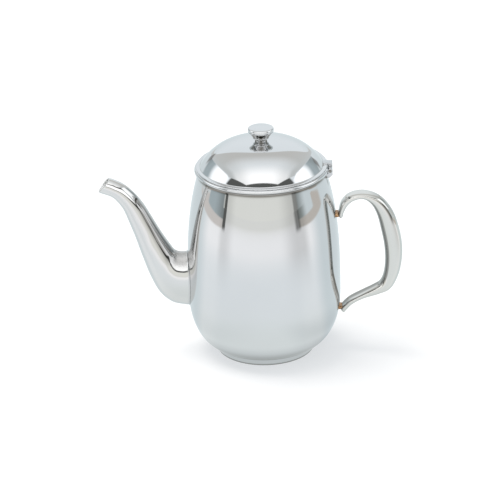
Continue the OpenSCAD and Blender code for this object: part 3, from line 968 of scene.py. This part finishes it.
def braze_material():
    made, g, shader = new_material("braze_metal")
    place = g.node("TexCoord").outputs["Object"]
    heat = g.noise(place, 420, 3, 0.6)
    copper = g.mix(g.ramp(heat, 0.35, 0.6), (0.34, 0.17, 0.08), (0.66, 0.42, 0.23))
    scorched = g.mix(g.ramp(g.noise(place, 900, 2), 0.50, 0.64), copper, (0.11, 0.07, 0.05))
    g.feed(shader.inputs["Base Color"], scorched)
    shader.inputs["Metallic"].default_value = 1.0
    g.feed(shader.inputs["Roughness"], g.ramp(heat, 0.3, 0.7, 0.28, 0.5))
    g.feed(shader.inputs["Normal"], g.bump(g.noise(place, 1500, 3), 0.00008))
    return made


# ---- studio: what the polished steel mirrors ----
BACKDROP = (1.0, 1.06, 1.10)
CARD = (0.99, 1.00, 0.955)
FRONT_DARK = (0.13, 0.135, 0.13)
FRONT_LIGHT = (1.62, 1.64, 1.66)
STRIP = (0.74, 0.77, 0.77)
SIDE_BLUE = (0.50, 0.58, 0.61)
SIDE_DARK = (0.30, 0.34, 0.345)
SIDE_GLOW = (1.62, 1.66, 1.70)
TAN_LEFT = (0.80, 0.76, 0.73)
TAN_RIGHT = (0.68, 0.64, 0.59)
SIDE_PALE = (0.80, 0.88, 0.91)


def studio_tree(name):
    tree = bpy.data.node_groups.new(name, "ShaderNodeTree")
    tree.interface.new_socket("Vector", in_out="INPUT", socket_type="NodeSocketVector")
    tree.interface.new_socket("Color", in_out="OUTPUT", socket_type="NodeSocketColor")
    g = Graph(tree)
    return tree, g, tree.nodes.new("NodeGroupInput").outputs[0]


def end_tree(g, colour):
    g.feed(g.tree.nodes.new("NodeGroupOutput").inputs[0], colour)


def card_slots(g, turn):
    """The dark slots beside the card in front."""
    left = g.band(turn, -65.5, -64.0, -60.5, -59.0)
    right = g.band(turn, 48, 53, 57, 61)
    return g.math("MAXIMUM", left, g.times(right, 0.78))


def card_shade(g, turn):
    """The soft shade on the card and the paper towards both sides."""
    left = g.band(turn, -72, -62, -59, -42)
    right = g.band(turn, 22, 52, 60, 74)
    return g.math("MAXIMUM", g.times(left, 0.22), g.times(right, 0.30))


def left_cloth(g, turn):
    return g.mix(g.ramp(turn, -64, -86), SIDE_DARK, SIDE_BLUE)


class Direction:
    """A direction as the studio is laid out. Turn and up are degrees from the front and from level; across
    and ahead say where it meets a plane overhead, in shares of the plane's height."""

    def __init__(self, g, source):
        unit = g.node("VectorMath", operation="NORMALIZE", Vector=source)
        self.x, y, self.z = g.split(unit.outputs[0])
        front = g.times(y, -1.0)
        self.turn = g.degrees(g.math("ARCTAN2", self.x, front))
        self.up = g.degrees(g.math("ARCSINE", self.z))
        # The right side stands a little nearer to the front than the left one
        self.aside = g.math("ABSOLUTE", g.math("ADD", self.turn, 4.0))
        safe = g.math("MAXIMUM", self.z, 0.03)
        self.across = g.math("ABSOLUTE", g.math("DIVIDE", self.x, safe))
        self.ahead = g.math("DIVIDE", front, safe)
        behind = g.math("MAXIMUM", g.times(self.ahead, -1.0), 0.0)
        # Above 0 beyond the overhead box, which widens towards the back
        self.edge = g.math("SUBTRACT", self.across, g.math("MULTIPLY_ADD", behind, 0.34, 1.0))


def side_boxes(g, d, colour):
    """Soft boxes at the sides: dark cloth by their front edge, blue-grey further back, a white glow in the
    middle, and a tan strip low on the right."""
    reach = g.math("MINIMUM", g.math("MULTIPLY_ADD", g.math("MAXIMUM", d.up, 0.0), 3.0, 104.0), 150.0)
    inside = g.ramp(g.math("SUBTRACT", d.aside, reach), 8, -8)
    inside = g.times(inside, g.ramp(d.edge, -0.03, 0.05), g.ramp(d.aside, 58, 61))
    right = g.mix(g.ramp(d.up, 14, 6), SIDE_BLUE, SIDE_PALE)
    right = g.mix(g.ramp(d.turn, 58, 76), (0.36, 0.40, 0.40), right)
    cloth = g.mix(g.ramp(d.x, -0.1, 0.1), left_cloth(g, d.turn), right)
    wide = g.math("DIVIDE", g.math("SUBTRACT", d.aside, 96.0), 31.0)
    high = g.math("DIVIDE", g.math("SUBTRACT", d.up, 35.0), 20.0)
    from_middle = g.math("ADD", g.times(wide, wide), g.times(high, high))
    cloth = g.mix(g.ramp(from_middle, 1.25, 0.15), cloth, SIDE_GLOW)
    cloth = g.mix(g.times(g.ramp(d.aside, 128, 142), 0.55), cloth, SIDE_DARK)
    colour = g.mix(inside, colour, cloth)
    strip = g.times(g.band(d.turn, 93, 97, 108, 113), g.ramp(d.up, 10, 6))
    return g.mix(strip, colour, TAN_RIGHT)


def front_card(g, d, colour):
    """In front: pale card on the table, the light above it, and a dark gap round both."""
    ahead_of = g.ramp(d.aside, 64, 60)
    colour = g.mix(g.times(ahead_of, g.ramp(d.up, 16.5, 15.5)), colour, CARD)
    colour = g.mix(g.times(ahead_of, g.ramp(d.up, 15.5, 17.0)), colour, FRONT_LIGHT)
    gap = g.times(g.band(d.up, 10.8, 11.6, 16.0, 17.0), g.ramp(d.aside, 76, 68))
    colour = g.mix(gap, colour, FRONT_DARK)
    low_glow = g.times(g.band(d.aside, 70, 78, 94, 108), g.band(d.up, 10.5, 12.5, 22, 30), 0.85)
    colour = g.mix(low_glow, colour, SIDE_GLOW)
    beside = g.math("MAXIMUM", card_slots(g, d.turn), g.times(card_shade(g, d.turn), ahead_of))
    colour = g.mix(g.times(beside, g.ramp(d.up, 17, 15)), colour, FRONT_DARK)
    slanted = g.math("MULTIPLY_ADD", d.aside, 0.17, d.up)
    dark = g.times(g.ramp(d.aside, 77, 72), g.ramp(slanted, 47.5, 50.0))
    return g.mix(dark, colour, FRONT_DARK)


def overhead_box(g, d, colour):
    """Soft box overhead, darker towards the backdrop, with grey edges."""
    slant = g.times(g.math("MAXIMUM", g.math("SUBTRACT", d.across, 0.5), 0.0), 1.1)
    front_edge = g.ramp(g.math("SUBTRACT", d.ahead, g.math("SUBTRACT", 0.65, slant)), 0.02, -0.02)
    bow = g.times(d.across, d.across, 0.75)
    back_edge = g.ramp(g.math("ADD", d.ahead, bow), -1.00, -0.93)
    inside = g.times(front_edge, back_edge, g.ramp(d.z, 0.04, 0.08), g.ramp(d.edge, 0.03, -0.03))
    lit = g.mix(g.ramp(d.ahead, -0.75, 0.0), (0.72, 0.72, 0.70), (1.06, 1.11, 1.14))
    lit = g.mix(g.ramp(d.ahead, -0.15, 0.45), lit, (1.60, 1.60, 1.60))
    lit = g.mix(g.ramp(d.edge, -0.80, -0.30, 0.0, 0.45), lit, STRIP)
    return g.mix(inside, colour, g.mix(g.ramp(d.edge, -0.32, -0.12), lit, STRIP))


def sky_tree():
    """What stands round the table, by direction."""
    tree, g, source = studio_tree("studio_above")
    d = Direction(g, source)
    colour = g.mix(g.ramp(d.up, 0, 25), (0.84, 0.92, 0.95), BACKDROP)
    colour = side_boxes(g, d, colour)
    colour = front_card(g, d, colour)
    colour = overhead_box(g, d, colour)
    # Dark seam between the side boxes and the backdrop
    seam = g.times(g.band(d.aside, 139, 142, 147, 150), g.band(d.up, 6, 10, 14, 18), 0.75)
    end_tree(g, g.mix(seam, colour, (0.20, 0.19, 0.18)))
    return tree


def paper_colour(g, x, off, turn):
    """White paper with painted light from the sides and less painted light behind, and the pot's soft shadow
    painted on it.
    """
    colour = g.mix(g.ramp(off, 0.06, 0.20), (0.94, 1.00, 1.005), (0.99, 1.045, 1.08))
    colour = g.mix(g.ramp(off, 0.20, 0.50), colour, (1.17, 1.18, 1.20))
    colour = g.mix(g.ramp(off, 0.55, 2.0), colour, (0.96, 0.97, 0.94))
    aside = g.math("ABSOLUTE", g.math("ADD", turn, 7.5))
    colour = g.mix(g.times(g.band(aside, 48, 66, 76, 92), 0.10), colour, (1.40, 1.40, 1.38))
    colour = g.mix(g.times(g.ramp(aside, 78, 102), 0.9), colour, (0.80, 0.89, 0.92))
    # Painted shadow of the pot on the paper beside it, and a deeper painted contact shadow round the foot
    sides = g.math("MAXIMUM", g.ramp(x, 0.02, 0.08), g.ramp(x, -0.02, -0.08, 0.0, 0.35))
    near = g.times(g.ramp(off, 0.14, 0.05), sides, 0.42)
    colour = g.mix(near, colour, (0.45, 0.50, 0.53))
    under = g.times(g.ramp(off, 0.062, 0.040), g.ramp(sides, 0.0, 1.0, 0.35, 0.80))
    return g.mix(under, colour, (0.26, 0.29, 0.31))


def beyond_paper(g, x, y, turn, paper):
    """The paper with tan strips beyond its sides and cloth beyond those."""
    wide = g.math("ABSOLUTE", x)
    right_side = g.ramp(x, -0.1, 0.1)
    strip = g.times(g.ramp(wide, 0.76, 0.86), g.ramp(g.math("SUBTRACT", y, 0.55), 0.15, -0.15))
    strip = g.times(strip, g.ramp(turn, 110, 103))
    colour = g.mix(strip, paper, g.mix(right_side, TAN_LEFT, TAN_RIGHT))
    right_cloth = g.mix(g.ramp(turn, 60, 76), (0.33, 0.37, 0.36), SIDE_PALE)
    cloth = g.mix(right_side, left_cloth(g, turn), right_cloth)
    rear = g.math("SUBTRACT", y, g.times(wide, g.ramp(x, -0.1, 0.1, 0.14, -0.04)))
    return g.mix(g.times(g.ramp(wide, 1.38, 1.60), g.ramp(rear, 0.08, -0.08)), colour, cloth)


def table_tree():
    """The table as the steel mirrors it, by place."""
    tree, g, source = studio_tree("studio_table")
    x, y, _ = g.split(source)
    off = g.math("SQRT", g.math("ADD", g.times(x, x), g.times(y, y)))
    turn = g.degrees(g.math("ARCTAN2", x, g.times(y, -1.0)))
    paper = paper_colour(g, x, off, turn)
    # In front there is only the paper, shaded towards its sides like the card above it
    ahead_of = g.band(turn, -62.5, -61.5, 55.0, 57.0)
    colour = g.mix(ahead_of, beyond_paper(g, x, y, turn, paper), paper)
    colour = g.mix(g.times(card_slots(g, turn), g.ramp(off, 0.72, 1.05)), colour, FRONT_DARK)
    colour = g.mix(g.times(card_shade(g, turn), g.ramp(off, 0.15, 0.45)), colour, FRONT_DARK)
    end_tree(g, colour)
    return tree


def seen_from(g, tree, vector):
    return g.result(g.node("Group", node_tree=tree), vector)


def mirrored_ray(g):
    """The light path node, and 1 for rays that left polished steel, 0 for the rest."""
    path = g.node("LightPath")
    return path, g.math("MAXIMUM", path.outputs["Is Glossy Ray"], path.outputs["Is Transmission Ray"])


def make_world():
    """White for the camera, grey light for what is matt, and the studio for mirrored rays."""
    world = bpy.data.worlds.new("studio")
    bpy.context.scene.world = world
    world.use_nodes = True
    g = Graph(world.node_tree)
    background = world.node_tree.nodes["Background"]
    path, mirrored = mirrored_ray(g)
    direction = g.node("TexCoord").outputs["Generated"]
    soft = g.mix(path.outputs["Is Camera Ray"], (0.62, 0.63, 0.65), (1.0, 1.0, 1.0))
    g.feed(background.inputs["Color"], g.mix(mirrored, soft, seen_from(g, sky_tree(), direction)))


def floor_material():
    """Paper that takes shadows, white to the camera, and the studio's table to mirrored rays."""
    made = bpy.data.materials.new("table_paper")
    made.use_nodes = True
    g = Graph(made.node_tree)
    nodes = made.node_tree.nodes
    nodes.remove(nodes["Principled BSDF"])
    path, mirrored = mirrored_ray(g)
    matt = g.node("BsdfDiffuse", Color=(0.36, 0.353, 0.342, 1))
    own = g.node("Emission", Color=(0.585, 0.605, 0.625, 1), Strength=path.outputs["Is Camera Ray"])
    lit = g.result(g.node("AddShader"), matt.outputs[0], own.outputs[0])
    position = g.node("NewGeometry").outputs["Position"]
    pattern = g.node("Emission", Color=seen_from(g, table_tree(), position))
    both = g.result(g.node("MixShader"), mirrored, lit, pattern.outputs[0])
    g.feed(nodes["Material Output"].inputs["Surface"], both)
    return made


def make_floor():
    size = 40.0
    corners = [(-size, -size, 0), (size, -size, 0), (size, size, 0), (-size, size, 0)]
    mesh = bpy.data.meshes.new("table")
    mesh.from_pydata(corners, [], [(0, 1, 2, 3)])
    table = add_object("table", mesh)
    table.data.materials.append(floor_material())


def make_lamp():
    """A warm light overhead, a little behind and to the left, not seen in the steel."""
    lamp = bpy.data.lights.new("window", "AREA")
    lamp.shape = "RECTANGLE"
    lamp.size = 1.0
    lamp.size_y = 1.0
    lamp.energy = 27.0
    lamp.color = (1.0, 0.975, 0.95)
    holder = add_object("window", lamp)
    holder.location = (-0.42, 0.22, 1.40)
    aim = Vector((0, 0, 0.05)) - holder.location
    holder.rotation_euler = aim.to_track_quat("-Z", "Y").to_euler()
    holder.visible_glossy = False


# ---- camera, fitted to the outlines of the barrel, rim, foot and lid in the photo ----
CAMERA_DOWN = math.radians(24.0)
CAMERA_ROLL = math.radians(1.387)
CAMERA_FAR = 1.8838
AIM_HEIGHT = 0.07245
PICTURE = 500
FOCAL_PIXELS = 2600
AXIS_PIXEL = (263.75, 254.09)  # where the pot's axis at the aim height lies in the picture


def make_camera():
    """Looks along +Y and down; the picture is shifted so that the pot lies where it does in the photo."""
    data = bpy.data.cameras.new("camera")
    camera = add_object("camera", data)
    look = Vector((0, math.cos(CAMERA_DOWN), -math.sin(CAMERA_DOWN)))
    camera.location = Vector((0, 0, AIM_HEIGHT)) - look * CAMERA_FAR
    turn = look.to_track_quat("-Z", "Y") @ Quaternion((0, 0, 1), -CAMERA_ROLL)
    camera.rotation_euler = turn.to_euler()
    data.sensor_width = 36
    data.lens = FOCAL_PIXELS * data.sensor_width / PICTURE
    data.shift_x = (PICTURE / 2 - AXIS_PIXEL[0]) / PICTURE
    data.shift_y = (AXIS_PIXEL[1] - PICTURE / 2) / PICTURE
    data.clip_end = 200
    bpy.context.scene.camera = camera


# ---- the whole ----
def place(piece, material, body, slot, *nodes):
    """Gives a piece its steel, the solids it stands for and its body; the slot is not used."""
    piece.data.materials.clear()
    piece.data.materials.append(material)
    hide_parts(*nodes)
    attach(piece, body)


def main():
    make_camera()
    make_world()
    make_floor()
    make_lamp()
    polished = steel("polished_steel", (0.67, 0.675, 0.68), 0.025, 0.035)
    pressed = steel("pressed_steel", (0.68, 0.672, 0.642), 0.03, 0.035)
    drawn = steel("drawn_steel", (0.69, 0.684, 0.676), 0.025, 0.035)
    ground = steel("ground_weld", (0.60, 0.60, 0.60), 0.10, 0.10, 0.000004, (1500, 1500, 1500))
    hinge = steel("hinge_steel", (0.58, 0.59, 0.60), 0.14, 0.14, 0.000006, (1800, 500, 1800))
    braze = braze_material()

    place(make_barrel(), polished, "pot", "polished_steel", "barrel_shell")
    place(make_foot(), polished, "pot", "polished_steel", "foot_ring")
    place(make_spout(), drawn, "pot", "polished_steel", "spout_left_half", "spout_right_half")
    place(make_root_weld(), ground, "pot", "weld_steel", "spout_root_weld")
    place(make_handle(), pressed, "pot", "polished_steel", "handle_left_half", "handle_right_half")
    place(make_braze("upper_braze", 0, 0.4, 1.8), braze, "pot", "braze", "handle_upper_braze")
    place(make_braze("lower_braze", 2, 16.6, 16.0), braze, "pot", "braze", "handle_lower_braze")
    place(make_bracket(), hinge, "pot", "hinge_steel", "hinge_bracket")
    place(make_pin(), hinge, "pot", "hinge_steel", "hinge_pin")
    place(make_dome(), polished, "lid", "polished_steel", "lid_dome")
    place(make_locating_ring(), polished, "lid", "polished_steel", "lid_locating_ring")
    place(make_leaf(), hinge, "lid", "hinge_steel", "lid_hinge_leaf")
    place(make_knob(), polished, "lid", "polished_steel", "lid_knob")
    place(make_screw(), hinge, "lid", "hinge_steel", "knob_screw")
    place(make_washer(), hinge, "lid", "hinge_steel", "knob_washer")
    bpy.context.scene.view_settings.view_transform = "Standard"


main()
